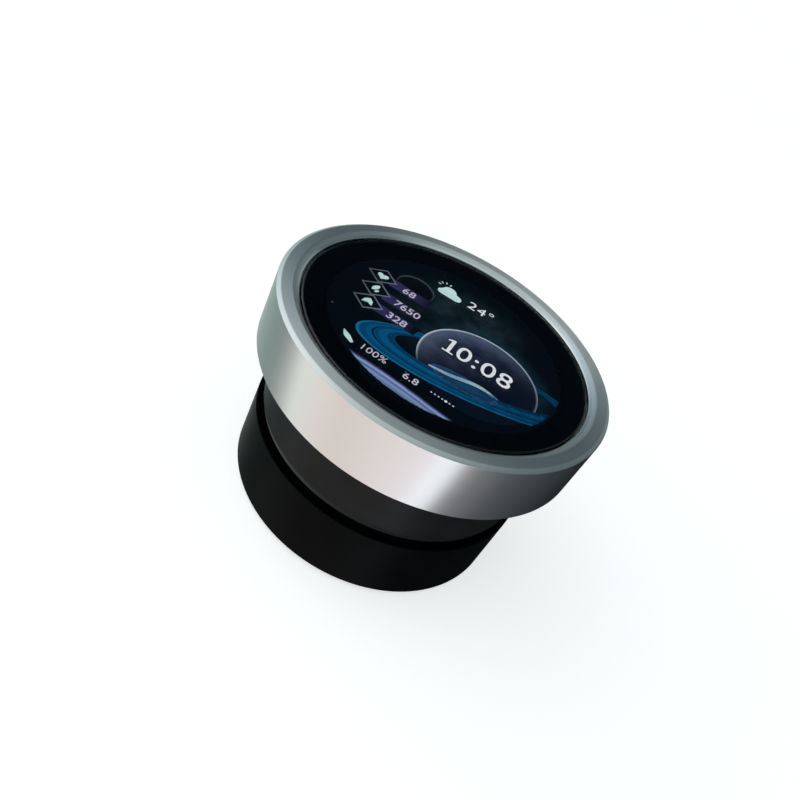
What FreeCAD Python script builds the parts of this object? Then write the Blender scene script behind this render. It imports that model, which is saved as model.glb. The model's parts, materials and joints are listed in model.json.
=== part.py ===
"""A round smart display built as a turn-and-push knob, modelled as its separate pieces.

An aluminium ring turns on a fixed display head, and its inner gear drives a small encoder. The whole
head slides down on three sprung shoulder screws, so that a switch under the display closes on a fixed
post. The head stands on a neck, and the neck stands on a drum-shaped base that holds the main board and
the battery.

Frame: millimetres, +Z up, the origin at the centre of the foot on the table, +X to the right of the
picture on the display, and +Y towards its top. The cable socket is at the back, on +Y.
"""
import FreeCAD, Part
import math
import os
import re

import Sketcher

Vector = FreeCAD.Vector
UP = Vector(0, 0, 1)

# The driving dimensions, in millimetres and degrees, as they are written into the sheet.
DIMENSIONS = {
    # heights, from the table up
    "base_bottom": 0.7,
    "cover_bottom": 0.9,
    "cover_top": 2.9,
    "deck_bottom": 15.4,
    "deck_top": 17.2,
    "flare_top": 17.6,
    "base_top": 17.8,
    "skirt_bottom": 20.4,
    "neck_deck_bottom": 28.4,
    "neck_top": 30.2,
    "skirt_deck_bottom": 34.1,
    "ring_bottom": 35.8,
    "skirt_top": 36.1,
    "floor_bottom": 41.0,
    "floor_top": 42.2,
    "board_bottom": 44.4,
    "board_top": 45.4,
    "frame_bottom": 45.6,
    "guide_plate_bottom": 46.0,
    "panel_bottom": 47.4,
    "ledge_top": 48.8,
    "glass_bottom": 49.0,
    "glass_top": 50.1,
    "ring_top": 51.0,
    # base
    "base_radius": 34.5,
    "base_bore": 32.3,
    "base_lip": 0.8,
    "deck_hole": 24.0,
    "edge": 0.6,
    "cover_radius": 32.1,
    "cover_bolt_circle": 28.8,
    "cover_boss": 3.75,
    "foot_inner": 21.0,
    "foot_outer": 26.0,
    "foot_groove": 0.8,
    "socket_height": 9.73,
    "socket_width": 8.94,
    "socket_depth": 3.26,
    "socket_length": 7.3,
    # main board and what is on it
    "main_board_bottom": 6.5,
    "main_board_top": 8.1,
    "main_board_radius": 31.8,
    "main_board_notch": 30.0,
    "module_width": 18.0,
    "module_length": 25.5,
    "module_thickness": 0.8,
    "shield_height": 2.2,
    "ribbon_socket_width": 14.0,
    "ribbon_socket_length": 3.4,
    "ribbon_socket_height": 1.4,
    "battery_socket_x": 15.0,
    "battery_socket_height": 4.2,
    "board_post_circle": 27.2,
    "board_post": 2.4,
    # battery
    "battery_y": 1.5,
    "battery_width": 34.0,
    "battery_length": 29.0,
    "battery_height": 8.0,
    "battery_tape_height": 0.5,
    # neck and the sliding guides
    "neck_radius": 31.2,
    "neck_bore": 29.4,
    "neck_flare": 33.3,
    "neck_blend": 1.8,
    "neck_boss_circle": 26.4,
    "neck_boss": 3.2,
    "post_radius": 2.4,
    "post_top": 41.48,
    "guide_circle": 24.5,
    "guide_bore": 1.55,
    "guide_shaft": 1.5,
    "bush_wall": 1.0,
    "bush_collar": 1.55,
    "bush_collar_height": 0.4,
    "spring_wire": 0.22,
    "spring_coil": 2.25,
    "spring_seat_gap": 0.03,
    "press_travel": 0.8,
    # head
    "skirt_radius": 33.5,
    "skirt_bore": 31.5,
    "post_hole": 3.4,
    "carrier_radius": 34.0,
    "carrier_bore": 32.0,
    "carrier_bolt_circle": 20.0,
    "carrier_boss": 2.6,
    "display_board_radius": 31.6,
    "display_bolt_circle": 30.2,
    "display_post": 1.9,
    "panel_radius": 28.6,
    "tail_width": 12.0,
    "tail_thickness": 0.15,
    "switch_width": 6.0,
    "switch_height": 1.8,
    "switch_roof": 0.3,
    "plunger_radius": 1.6,
    "glass_radius": 34.2,
    "glass_round": 0.6,
    # ribbon cable between the two boards
    "ribbon_y": 20.5,
    "ribbon_width": 11.0,
    "ribbon_thickness": 0.2,
    "ribbon_slot_width": 15.0,
    "ribbon_slot_depth": 3.4,
    # turning ring
    "ring_radius": 39.5,
    "ring_bore": 36.6,
    "ring_rim_width": 0.9,
    "ring_rim_drop": 0.5,
    "ring_slope": 1.6,
    "ring_softening": 0.15,
    "lip_radius": 34.5,
    "lip_thickness": 1.2,
    "glide_radius": 36.52,
    "washer_bore": 30.9,
    # gear pair that drives the encoder
    "tooth_module": 0.5,
    "ring_teeth": 120,
    "pinion_teeth": 20,
    "gear_bottom": 36.6,
    "gear_top": 40.6,
    "mesh_ease": 0.06,
    "encoder_shaft": 1.0,
    "encoder_width": 7.0,
    "encoder_height": 2.8,
    # screws: shank radii, and how much wider their holes are
    "large_screw": 1.0,
    "small_screw": 0.7,
    "large_head": 2.0,
    "countersunk_head": 2.2,
    "countersunk_depth": 1.2,
    "thread_gap": 0.02,
    "hole_gap": 0.2,
    # gaps between pieces that move or are laid in place
    "loose_gap": 0.1,
    "running_gap": 0.05,
    "washer_gap": 0.12,
}

# Where the main board's posts stand, in degrees from +X.
# They keep clear of the neck's screws and the cable socket.
BOARD_POST_ANGLES = (0, 180, 300)

doc = FreeCAD.newDocument("knob_display")
sheet = doc.addObject("Spreadsheet::Sheet", "dims")
parts = {}


def fill_sheet():
    """Writes each driving dimension into the sheet with its alias."""
    for row, (alias, size) in enumerate(DIMENSIONS.items(), start=1):
        sheet.set(f"A{row}", alias)
        sheet.set(f"B{row}", str(size))
        sheet.setAlias(f"B{row}", alias)
    doc.recompute()


def bound(formula):
    """The formula with each alias written as the document's expressions need it."""

    def cell(word):
        return f"dims.{word.group()}" if word.group() in DIMENSIONS else word.group()

    return re.sub(r"[a-z_]+", cell, str(formula))


def size(formula):
    """The value of a formula of aliases, in millimetres."""
    return float(sheet.evalExpression(str(formula)))


def keep(label, piece):
    """Records a finished piece under the name that its file gets."""
    piece.Label = label
    parts[label] = piece
    return piece


# ---------------------------------------------------------------- bodies made of sketches and features


def new_body(label):
    return keep(label, doc.addObject("PartDesign::Body", label))


def origin_feature(body, role):
    return next(f for f in body.Origin.OriginFeatures if f.Role == role)


def new_sketch(body, name, plane="XY_Plane", height=None):
    sketch = body.newObject("Sketcher::SketchObject", f"{body.Name}_{name}")
    sketch.AttachmentSupport = [(origin_feature(body, plane), "")]
    sketch.MapMode = "FlatFace"
    if height is not None:
        sketch.setExpression("AttachmentOffset.Base.z", bound(height))
    return sketch


def hold(sketch, kind, *where_and_formula):
    """Adds a dimension to the sketch and binds it to its formula."""
    *where, formula = where_and_formula
    index = sketch.addConstraint(Sketcher.Constraint(kind, *where, size(formula)))
    sketch.setExpression(f"Constraints[{index}]", bound(formula))


def draw_polygon(sketch, points):
    """A closed outline through points whose two coordinates are formulas."""
    corners = [Vector(size(x), size(y), 0) for x, y in points]
    first = len(sketch.Geometry)
    count = len(corners)
    for i in range(count):
        sketch.addGeometry(Part.LineSegment(corners[i], corners[(i + 1) % count]), False)
    for i in range(count):
        sketch.addConstraint(Sketcher.Constraint("Coincident", first + i, 2, first + (i + 1) % count, 1))
    for i, (x, y) in enumerate(points):
        hold(sketch, "DistanceX", -1, 1, first + i, 1, x)
        hold(sketch, "DistanceY", -1, 1, first + i, 1, y)


def draw_box(sketch, x, y, width, depth):
    """A rectangle about the centre (x, y)."""
    left, right = f"{x} - ({width}) / 2", f"{x} + ({width}) / 2"
    low, high = f"{y} - ({depth}) / 2", f"{y} + ({depth}) / 2"
    draw_polygon(sketch, [(left, low), (right, low), (right, high), (left, high)])


def draw_circle(sketch, x, y, radius):
    index = len(sketch.Geometry)
    sketch.addGeometry(Part.Circle(Vector(size(x), size(y), 0), UP, size(radius)), False)
    hold(sketch, "DistanceX", -1, 1, index, 3, x)
    hold(sketch, "DistanceY", -1, 1, index, 3, y)
    hold(sketch, "Radius", index, radius)


def turned(label, outline):
    """A body of revolution about Z, from an outline of (radius, height) formulas."""
    body = new_body(label)
    sketch = new_sketch(body, "outline", "XZ_Plane")
    draw_polygon(sketch, outline)
    turn = body.newObject("PartDesign::Revolution", f"{label}_turn")
    turn.Profile = sketch
    turn.ReferenceAxis = (sketch, ["V_Axis"])
    turn.Angle = 360
    doc.recompute()
    return body


def tube(label, inner, outer, low, high):
    """A plain ring, or a disc where inner is 0."""
    return turned(label, [(inner, low), (outer, low), (outer, high), (inner, high)])


def pad(body, sketch, length):
    """Adds material from the sketch upwards."""
    feature = body.newObject("PartDesign::Pad", f"{sketch.Name}_pad")
    feature.Profile = sketch
    feature.setExpression("Length", bound(length))
    doc.recompute()
    return feature


def pocket(body, sketch, depth):
    """Cuts from the sketch downwards, and stops if that removes nothing."""
    before = body.Shape.Volume
    feature = body.newObject("PartDesign::Pocket", f"{sketch.Name}_cut")
    feature.Profile = sketch
    feature.setExpression("Length", bound(depth))
    doc.recompute()
    if body.Shape.Volume > before - 1e-6:
        raise RuntimeError(f"{sketch.Name} cuts nothing")
    return feature


def repeat_around(body, feature, count):
    """Repeats a feature evenly about Z."""
    pattern = body.newObject("PartDesign::PolarPattern", f"{feature.Name}_around")
    pattern.Originals = [feature]
    pattern.Axis = (origin_feature(body, "Z_Axis"), [""])
    pattern.Angle = 360
    pattern.Occurrences = count
    body.Tip = pattern
    doc.recompute()


def polar(radius, degrees):
    """The x and y formulas of a point on a circle about Z."""
    return f"{radius} * cos({degrees} deg)", f"{radius} * sin({degrees} deg)"


def posts(body, circle, degrees, radius, low, high, count):
    """Round posts standing on a circle of the body."""
    sketch = new_sketch(body, f"posts{len(body.Group)}", height=low)
    draw_circle(sketch, *polar(circle, degrees), radius)
    repeat_around(body, pad(body, sketch, f"{high} - ({low})"), count)


def holes(body, circle, degrees, radius, top, depth, count):
    """Round holes on a circle of the body, cut downwards from top."""
    sketch = new_sketch(body, f"holes{len(body.Group)}", height=top)
    draw_circle(sketch, *polar(circle, degrees), radius)
    repeat_around(body, pocket(body, sketch, depth), count)


def slot(body, x, y, width, depth, top, down):
    """A rectangular opening cut downwards from top."""
    sketch = new_sketch(body, f"slot{len(body.Group)}", height=top)
    draw_box(sketch, x, y, width, depth)
    pocket(body, sketch, down)


def dress(body, kind, amount, circles):
    """A Fillet or Chamfer on the body's round edges at the given (radius, height) formulas."""
    wanted = [(size(radius), size(height)) for radius, height in circles]
    names = []
    for number, edge in enumerate(body.Shape.Edges, start=1):
        curve = edge.Curve
        if not isinstance(curve, Part.Circle) or curve.Center.x ** 2 + curve.Center.y ** 2 > 1e-6:
            continue
        if any(abs(curve.Radius - r) < 1e-3 and abs(curve.Center.z - z) < 1e-3 for r, z in wanted):
            names.append(f"Edge{number}")
    if len(names) < len(wanted):
        raise RuntimeError(f"{body.Label}: found {len(names)} of {len(wanted)} edges to dress")
    base = body.Tip
    feature = body.newObject(f"PartDesign::{kind}", f"{body.Name}_{kind.lower()}{len(body.Group)}")
    feature.Base = (base, names)
    feature.setExpression("Radius" if kind == "Fillet" else "Size", bound(amount))
    doc.recompute()


# ---------------------------------------------------------------- pieces made of primitives


def primitive(kind, name, place, **sizes):
    """A Part primitive with its sizes and its place bound to formulas."""
    piece = doc.addObject(f"Part::{kind}", name)
    for prop, formula in sizes.items():
        piece.setExpression(prop, bound(formula))
    for axis, formula in zip("xyz", place):
        piece.setExpression(f"Placement.Base.{axis}", bound(formula))
    return piece


def block(name, x, y, low, width, depth, height):
    """A box centred on (x, y) that stands on the height low."""
    corner = (f"{x} - ({width}) / 2", f"{y} - ({depth}) / 2", low)
    return primitive("Box", name, corner, Length=width, Width=depth, Height=height)


def rod(name, x, y, low, radius, height):
    return primitive("Cylinder", name, (x, y, low), Radius=radius, Height=height)


def cut(name, base, tool):
    piece = doc.addObject("Part::Cut", name)
    piece.Base = base
    piece.Tool = tool
    return piece


def fuse(name, pieces):
    piece = doc.addObject("Part::MultiFuse", name)
    piece.Shapes = pieces
    return piece


def group(label, pieces):
    """Separate solids that share one node."""
    piece = doc.addObject("Part::Compound", label)
    piece.Links = pieces
    return keep(label, piece)


def rounded_block(label, x, y, low, width, depth, height, radius):
    """A box whose upright edges are rounded."""
    box = block(f"{label}_box", x, y, low, width, depth, height)
    doc.recompute()
    upright = [
        number
        for number, edge in enumerate(box.Shape.Edges, start=1)
        if abs(edge.Vertexes[0].Z - edge.Vertexes[1].Z) > 1e-6
    ]
    piece = doc.addObject("Part::Fillet", label)
    piece.Base = box
    piece.Edges = [(number, radius, radius) for number in upright]
    return keep(label, piece)


def screw(name, x, y, seat, end, shank, head, head_height, countersunk=False):
    """A cross-recessed screw. seat is the height under its head, and end is the height of its tip."""
    way = 1 if size(seat) > size(end) else -1
    low = end if way > 0 else seat
    shaft = rod(f"{name}_shank", x, y, low, shank, f"abs(({seat}) - ({end}))")
    head_low = seat if way > 0 else f"({seat}) - {head_height}"
    if countersunk:
        wide, narrow = (shank, head) if way > 0 else (head, shank)
        cap = primitive(
            "Cone", f"{name}_head", (x, y, head_low), Radius1=wide, Radius2=narrow, Height=head_height
        )
    else:
        cap = rod(f"{name}_head", x, y, head_low, head, head_height)
    solid = fuse(f"{name}_solid", [shaft, cap])
    recess_low = f"({seat}) + {head_height} / 2" if way > 0 else f"({seat}) - {head_height}"
    width, length = f"{head} * 0.32", f"{head} * 1.15"
    bars = [
        block(f"{name}_bar{i}", x, y, recess_low, w, d, f"{head_height} / 2")
        for i, (w, d) in enumerate([(width, length), (length, width)])
    ]
    return cut(name, solid, fuse(f"{name}_recess", bars))


def screws_around(label, circle, degrees, count, **shape):
    """A node of equal screws, evenly spaced on a circle."""
    made = []
    for i in range(count):
        x, y = polar(circle, degrees + 360 * i / count)
        made.append(screw(f"{label}_{i + 1}", x, y, **shape))
    return group(label, made)


# ---------------------------------------------------------------- base


def make_base_shell():
    """The drum: an open-bottomed cup with a raised lip round its deck, screw bosses and a cable opening."""
    shell = turned(
        "base_shell",
        [
            ("base_bore", "base_bottom"),
            ("base_radius - edge", "base_bottom"),
            ("base_radius", "base_bottom + edge"),
            ("base_radius", "base_top"),
            ("base_radius - base_lip", "base_top"),
            ("base_radius - base_lip", "deck_top"),
            ("deck_hole", "deck_top"),
            ("deck_hole", "deck_bottom"),
            ("base_bore", "deck_bottom"),
        ],
    )
    dress(shell, "Fillet", 0.25, [("base_radius", "base_top")])
    posts(shell, "cover_bolt_circle", 45, "cover_boss", "cover_top", "deck_bottom", 4)
    holes(shell, "cover_bolt_circle", 45, "large_screw + thread_gap", "cover_top + 7", "7", 4)
    for degrees in BOARD_POST_ANGLES:
        posts(shell, "board_post_circle", degrees, "board_post", "main_board_top", "deck_bottom", 1)
        holes(shell, "board_post_circle", degrees, "large_screw + thread_gap", "main_board_top + 5", "5", 1)
    holes(shell, "neck_boss_circle", 30, "large_screw + hole_gap", "deck_top", "deck_top - deck_bottom", 3)
    opening = new_sketch(shell, "cable_opening", "XZ_Plane", "0 - base_bore + 3")
    draw_box(opening, "0", "socket_height", "socket_width + 0.6", "socket_depth + 0.6")
    pocket_through_back(shell, opening)


def pocket_through_back(shell, opening):
    """Cuts the cable opening from the hollow out through the wall on +Y, and rounds its corners."""
    before = shell.Shape.Volume
    feature = shell.newObject("PartDesign::Pocket", "base_shell_cable_cut")
    feature.Profile = opening
    feature.setExpression("Length", bound("base_radius"))
    doc.recompute()
    removed = before - shell.Shape.Volume
    if not 10 < removed < 150:
        raise RuntimeError(f"the cable opening removes {removed:.1f} cubic millimetres")
    half_width, half_depth = size("socket_width + 0.6") / 2, size("socket_depth + 0.6") / 2
    corners = []
    for number, edge in enumerate(shell.Shape.Edges, start=1):
        middle = edge.CenterOfMass
        on_side = abs(abs(middle.x) - half_width) < 1e-3
        on_rim = abs(abs(middle.z - size("socket_height")) - half_depth) < 1e-3
        if on_side and on_rim and middle.y > 0:
            corners.append(f"Edge{number}")
    rounding = shell.newObject("PartDesign::Fillet", "base_shell_cable_corners")
    rounding.Base = (feature, corners)
    rounding.setExpression("Radius", bound("socket_depth / 2 + 0.25"))
    doc.recompute()


def make_bottom_cover():
    """The disc that closes the drum, with a groove for the foot and countersunk holes."""
    cover = turned(
        "bottom_cover",
        [
            ("0", "cover_bottom"),
            ("foot_inner - running_gap", "cover_bottom"),
            ("foot_inner - running_gap", "cover_bottom + foot_groove"),
            ("foot_outer + running_gap", "cover_bottom + foot_groove"),
            ("foot_outer + running_gap", "cover_bottom"),
            ("cover_radius - 0.3", "cover_bottom"),
            ("cover_radius", "cover_bottom + 0.3"),
            ("cover_radius", "cover_top"),
            ("0", "cover_top"),
        ],
    )
    holes(cover, "cover_bolt_circle", 45, "large_screw + hole_gap", "cover_top", "2", 4)
    x, y = polar("cover_bolt_circle", 45)
    sink = new_sketch(cover, "countersink", height="cover_bottom + countersunk_depth")
    draw_circle(sink, x, y, "large_screw + 0.25")
    mouth = new_sketch(cover, "countersink_mouth", height="cover_bottom")
    draw_circle(mouth, x, y, "countersunk_head + 0.25")
    loft = cover.newObject("PartDesign::SubtractiveLoft", "bottom_cover_sink_cut")
    loft.Profile = sink
    loft.Sections = [mouth]
    doc.recompute()
    repeat_around(cover, loft, 4)


def make_foot():
    """The rubber ring that the display stands on."""
    foot = tube("foot_ring", "foot_inner", "foot_outer", "0", "cover_bottom + foot_groove")
    dress(foot, "Fillet", 0.35, [("foot_inner", "0"), ("foot_outer", "0")])


def make_main_board():
    """The board across the drum, notched round the cover's bosses, with its module, sockets and plug."""
    board = tube("main_board", "0", "main_board_radius", "main_board_bottom", "main_board_top")
    holes(board, "cover_bolt_circle", 45, "cover_boss + 2 * hole_gap", "main_board_top", "2", 4)
    for degrees in BOARD_POST_ANGLES:
        holes(board, "board_post_circle", degrees, "large_screw + hole_gap", "main_board_top", "2", 1)
    slot(board, "0", "0 - main_board_radius", "main_board_notch", "7", "main_board_top", "2")

    on_board = ("0 - 9", "3", "main_board_top")
    keep(
        "radio_module", block("radio_module", *on_board, "module_width", "module_length", "module_thickness")
    )
    on_module = ("0 - 9", "0", "main_board_top + module_thickness")
    rounded_block("radio_shield", *on_module, "module_width - 2", "17.6", "shield_height", 0.6)
    ribbon_socket("ribbon_socket_lower", "main_board_top")
    plug = ("battery_socket_x", "0 - 8", "main_board_top")
    rounded_block("battery_socket", *plug, "6.2", "4.6", "battery_socket_height", 0.3)


def ribbon_socket(label, low):
    """The socket for the flat cable on either board."""
    sizes = ("ribbon_socket_width", "ribbon_socket_length", "ribbon_socket_height")
    keep(label, block(label, "0", "0 - ribbon_y", low, *sizes))


def make_cable_socket():
    """A USB-C receptacle: a steel shell with its contact tongue, flush with the drum's wall."""
    back = "base_radius - 0.35 - socket_length"
    length = "socket_length"
    outer = stadium("socket_outer", back, "socket_width", "socket_depth", length)
    inner = stadium("socket_inner", f"{back} + 1", "socket_width - 0.6", "socket_depth - 0.6", length)
    keep("cable_socket", cut("cable_socket", outer, inner))
    tongue = primitive(
        "Box",
        "socket_tongue",
        ("0 - 3.3", f"{back} + 1", "socket_height - 0.35"),
        Length="6.6",
        Width="socket_length - 2",
        Height="0.7",
    )
    keep("socket_tongue", tongue)


def stadium(name, back, width, depth, length):
    """A bar with round sides that runs along +Y from back."""
    half_flat = f"(({width}) - ({depth})) / 2"
    flat = primitive(
        "Box",
        f"{name}_flat",
        (f"0 - {half_flat}", back, f"socket_height - ({depth}) / 2"),
        Length=f"2 * {half_flat}",
        Width=length,
        Height=depth,
    )
    sides = []
    for index, sign in enumerate(("0 - ", "")):
        side = primitive(
            "Cylinder",
            f"{name}_side{index}",
            (f"{sign}{half_flat}", back, "socket_height"),
            Radius=f"({depth}) / 2",
            Height=length,
        )
        side.Placement.Rotation = FreeCAD.Rotation(Vector(1, 0, 0), -90)
        sides.append(side)
    return fuse(name, [flat, *sides])


def make_battery():
    """A pouch cell taped under the neck's deck, and its two wires to the main board."""
    cell_top = "neck_deck_bottom - battery_tape_height"
    tape = block(
        "battery_tape",
        "0",
        "battery_y",
        cell_top,
        "battery_width - 6",
        "battery_length - 5",
        "battery_tape_height",
    )
    keep("battery_tape", tape)
    cell_low = f"{cell_top} - battery_height"
    rounded_block(
        "battery_cell", "0", "battery_y", cell_low, "battery_width", "battery_length", "battery_height", 1.5
    )
    wires = [battery_wire(f"battery_wire_{i + 1}", y) for i, y in enumerate((-9.0, -7.0))]
    group("battery_lead", wires)


def battery_wire(name, y):
    """One wire: out of the cell's side, round one bend and down into its socket."""
    radius = 0.55
    bend = 1.6
    start = Vector(size("battery_width / 2"), y, 23.5)
    corner = Vector(start.x + 2.2, y, start.z)
    turn_in = corner - Vector(bend, 0, 0)
    turn_out = corner - Vector(0, 0, bend)
    middle = corner - Vector(bend, 0, bend) + Vector(math.sqrt(0.5), 0, math.sqrt(0.5)) * bend
    end = Vector(size("battery_socket_x + 0.6"), y, size("main_board_top + battery_socket_height"))
    knee = Vector(corner.x, y, end.z + 6.6)
    path = Part.Wire(
        [
            Part.LineSegment(start, turn_in).toShape(),
            Part.Arc(turn_in, middle, turn_out).toShape(),
            Part.LineSegment(turn_out, knee).toShape(),
            *bend_between(knee, end),
        ]
    )
    ring = Part.Wire(Part.makeCircle(radius, start, Vector(1, 0, 0)))
    wire = doc.addObject("Part::Feature", name)
    wire.Shape = path.makePipeShell([ring], True, True)
    return wire


def bend_between(first, last):
    """Edges that run straight down from first and straight down into last, joined by two arcs."""
    step = Vector(0, 0, -1)
    across = last.x - first.x
    drop = first.z - last.z
    run = 0.5
    middle = (first + last) * 0.5
    radius = ((drop - 2 * run) ** 2 + across ** 2) / (4 * abs(across))
    side = 1 if across > 0 else -1
    start, end = first + step * run, last - step * run
    upper = Vector(start.x + side * radius, start.y, start.z)
    lower = Vector(end.x - side * radius, end.y, end.z)
    half = math.asin((start.z - middle.z) / radius) / 2
    on_upper = upper + Vector(-side * math.cos(half), 0, -math.sin(half)) * radius
    on_lower = lower + Vector(side * math.cos(half), 0, math.sin(half)) * radius
    return [
        Part.LineSegment(first, start).toShape(),
        Part.Arc(start, on_upper, middle).toShape(),
        Part.Arc(middle, on_lower, end).toShape(),
        Part.LineSegment(end, last).toShape(),
    ]


# ---------------------------------------------------------------- neck and guides


def make_neck():
    """The glossy neck: a flared cup, upside down, with the post that the switch closes on."""
    neck = turned(
        "neck",
        [
            ("neck_bore", "deck_top"),
            ("neck_flare", "deck_top"),
            ("neck_flare", "flare_top"),
            ("neck_radius", "flare_top"),
            ("neck_radius", "neck_top - 0.3"),
            ("neck_radius - 0.3", "neck_top"),
            ("post_radius", "neck_top"),
            ("post_radius", "post_top - 0.4"),
            ("post_radius - 0.4", "post_top"),
            ("0", "post_top"),
            ("0", "neck_deck_bottom"),
            ("neck_bore", "neck_deck_bottom"),
        ],
    )
    dress(neck, "Fillet", "neck_blend", [("neck_radius", "flare_top")])
    posts(neck, "neck_boss_circle", 30, "neck_boss", "deck_top", "neck_deck_bottom", 3)
    holes(neck, "neck_boss_circle", 30, "large_screw + thread_gap", "deck_top + 8", "8", 3)
    through = "neck_top - neck_deck_bottom"
    holes(neck, "guide_circle", 90, "guide_bore + bush_wall", "neck_top", through, 3)
    slot(neck, "0", "0 - ribbon_y", "ribbon_slot_width", "ribbon_slot_depth - 0.6", "neck_top", through)


def make_guides():
    """Three bushes in the neck's deck, the shoulder screws that slide in them, and their springs."""
    bushes, sliders, springs = [], [], []
    for i in range(3):
        x, y = polar("guide_circle", 90 + 120 * i)
        name = f"guide_bush_{i + 1}"
        sleeve = rod(f"{name}_sleeve", x, y, "neck_top - 2.1", "guide_bore + bush_wall", "2.1")
        collar = rod(f"{name}_collar", x, y, "neck_top", "guide_bore + bush_collar", "bush_collar_height")
        bore = rod(f"{name}_bore", x, y, "neck_top - 3", "guide_bore", "4")
        bushes.append(cut(name, fuse(f"{name}_solid", [sleeve, collar]), bore))
        shape = dict(
            seat="neck_top - 2.15", end="skirt_top - 0.1", shank="guide_shaft", head="2.5", head_height="1.4"
        )
        sliders.append(screw(f"shoulder_screw_{i + 1}", x, y, **shape))
        springs.append(return_spring(f"return_spring_{i + 1}", size(x), size(y)))
    group("guide_bushes", bushes)
    group("shoulder_screws", sliders)
    group("return_springs", springs)


def return_spring(name, x, y):
    """A coil spring from the bush's collar up to the underside of the skirt's deck.

    Its line is split into short lengths, so each face of the wire turns through only a quarter of a coil.
    """
    wire_radius, coil_radius = size("spring_wire"), size("spring_coil")
    turns = 3.5
    low = size("neck_top + bush_collar_height + spring_wire + spring_seat_gap")
    high = size("skirt_deck_bottom - spring_wire - spring_seat_gap")
    line = Part.makeHelix((high - low) / turns, high - low, coil_radius).Edges[0]
    first, last = line.ParameterRange
    lengths = round(4 * turns)
    spine = line.split([first + (last - first) * i / lengths for i in range(1, lengths)])
    ring = Part.Wire(Part.makeCircle(wire_radius, Vector(coil_radius, 0, 0), Vector(0, 1, 0)))
    coil = Part.Wire(spine.Edges).makePipeShell([ring], True, True)
    coil.translate(Vector(x, y, low))
    spring = doc.addObject("Part::Feature", name)
    spring.Shape = coil
    return spring


# ---------------------------------------------------------------- head


def make_skirt():
    """The grey collar under the ring: a cup, upside down, that slides over the neck."""
    skirt = turned(
        "skirt",
        [
            ("skirt_bore", "skirt_bottom"),
            ("skirt_radius", "skirt_bottom"),
            ("skirt_radius", "skirt_top"),
            ("post_hole", "skirt_top"),
            ("post_hole", "skirt_deck_bottom"),
            ("skirt_bore", "skirt_deck_bottom"),
        ],
    )
    dress(skirt, "Fillet", 0.3, [("skirt_radius", "skirt_bottom"), ("skirt_radius", "skirt_top")])
    holes(skirt, "carrier_bolt_circle", 45, "large_screw + hole_gap", "skirt_top", "2", 4)
    holes(skirt, "guide_circle", 90, "guide_shaft + thread_gap", "skirt_top", "2", 3)
    slot(skirt, "0", "0 - ribbon_y", "ribbon_slot_width", "ribbon_slot_depth", "skirt_top", "2")


def make_carrier():
    """The frame that holds the display, with bosses down to the skirt and posts up to the display's board."""
    carrier = turned(
        "carrier",
        [
            ("post_hole", "floor_bottom"),
            ("carrier_radius", "floor_bottom"),
            ("carrier_radius", "ledge_top"),
            ("carrier_bore", "ledge_top"),
            ("carrier_bore", "floor_top"),
            ("post_hole", "floor_top"),
        ],
    )
    posts(carrier, "carrier_bolt_circle", 45, "carrier_boss", "skirt_top", "floor_bottom", 4)
    holes(
        carrier,
        "carrier_bolt_circle",
        45,
        "large_screw + thread_gap",
        "floor_top",
        "floor_top - skirt_top",
        4,
    )
    posts(carrier, "display_bolt_circle", 45, "display_post", "floor_top", "board_bottom", 4)
    holes(carrier, "display_bolt_circle", 45, "small_screw + thread_gap", "board_bottom", "1.8", 4)
    through = "floor_top - floor_bottom"
    slot(carrier, encoder_x(), "0", "encoder_width + 1.2", "encoder_width + 1.2", "floor_top", through)
    slot(carrier, "0", "0 - ribbon_y", "ribbon_slot_width", "ribbon_slot_depth", "floor_top", through)


def make_display():
    """From the top down: glass, tapes, panel, light guide, its frame, and the display's board."""
    glass = tube("cover_glass", "0", "glass_radius", "glass_bottom", "glass_top")
    dress(glass, "Fillet", "glass_round", [("glass_radius", "glass_top")])
    tube("glass_tape", "carrier_bore + loose_gap", "carrier_radius - loose_gap", "ledge_top", "glass_bottom")
    tube("optical_adhesive", "0", "panel_radius - loose_gap", "ledge_top", "glass_bottom")
    tube("display_panel", "0", "panel_radius", "panel_bottom", "ledge_top")
    turned(
        "backlight_frame",
        [
            ("0", "frame_bottom"),
            ("panel_radius + loose_gap", "frame_bottom"),
            ("panel_radius + loose_gap", "panel_bottom"),
            ("panel_radius - 0.5", "panel_bottom"),
            ("panel_radius - 0.5", "guide_plate_bottom"),
            ("0", "guide_plate_bottom"),
        ],
    )
    tube(
        "light_guide", "0", "panel_radius - 0.5 - loose_gap", "guide_plate_bottom", "panel_bottom - loose_gap"
    )
    board = tube("display_board", "0", "display_board_radius", "board_bottom", "board_top")
    holes(
        board,
        "display_bolt_circle",
        45,
        "small_screw + loose_gap",
        "board_top",
        "board_top - board_bottom",
        4,
    )
    make_panel_tail()
    ribbon_socket("ribbon_socket_upper", "board_bottom - ribbon_socket_height")


def make_panel_tail():
    """The flexible strip from the panel's edge, folded down to the display's board."""
    tail = new_body("panel_tail")
    sketch = new_sketch(tail, "strip", "YZ_Plane", "0 - tail_width / 2")
    inner, outer = "1 - panel_radius", "0 - panel_radius - 1.6"
    top, foot = "panel_bottom + 0.8", "board_top"
    draw_polygon(
        sketch,
        [
            (inner, top),
            (inner, f"{top} + tail_thickness"),
            (f"{outer} - tail_thickness", f"{top} + tail_thickness"),
            (f"{outer} - tail_thickness", foot),
            (outer, foot),
            (outer, top),
        ],
    )
    pad(tail, sketch, "tail_width")
    holes(tail, "0", 0, "panel_radius", "ledge_top", "1", 1)


def make_ribbon():
    """The flat cable that hangs from the display's board down to the main board."""
    low, high = "main_board_top + ribbon_socket_height", "board_bottom - ribbon_socket_height"
    ribbon = block(
        "display_ribbon", "0", "0 - ribbon_y", low, "ribbon_width", "ribbon_thickness", f"{high} - ({low})"
    )
    keep("display_ribbon", ribbon)


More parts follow.
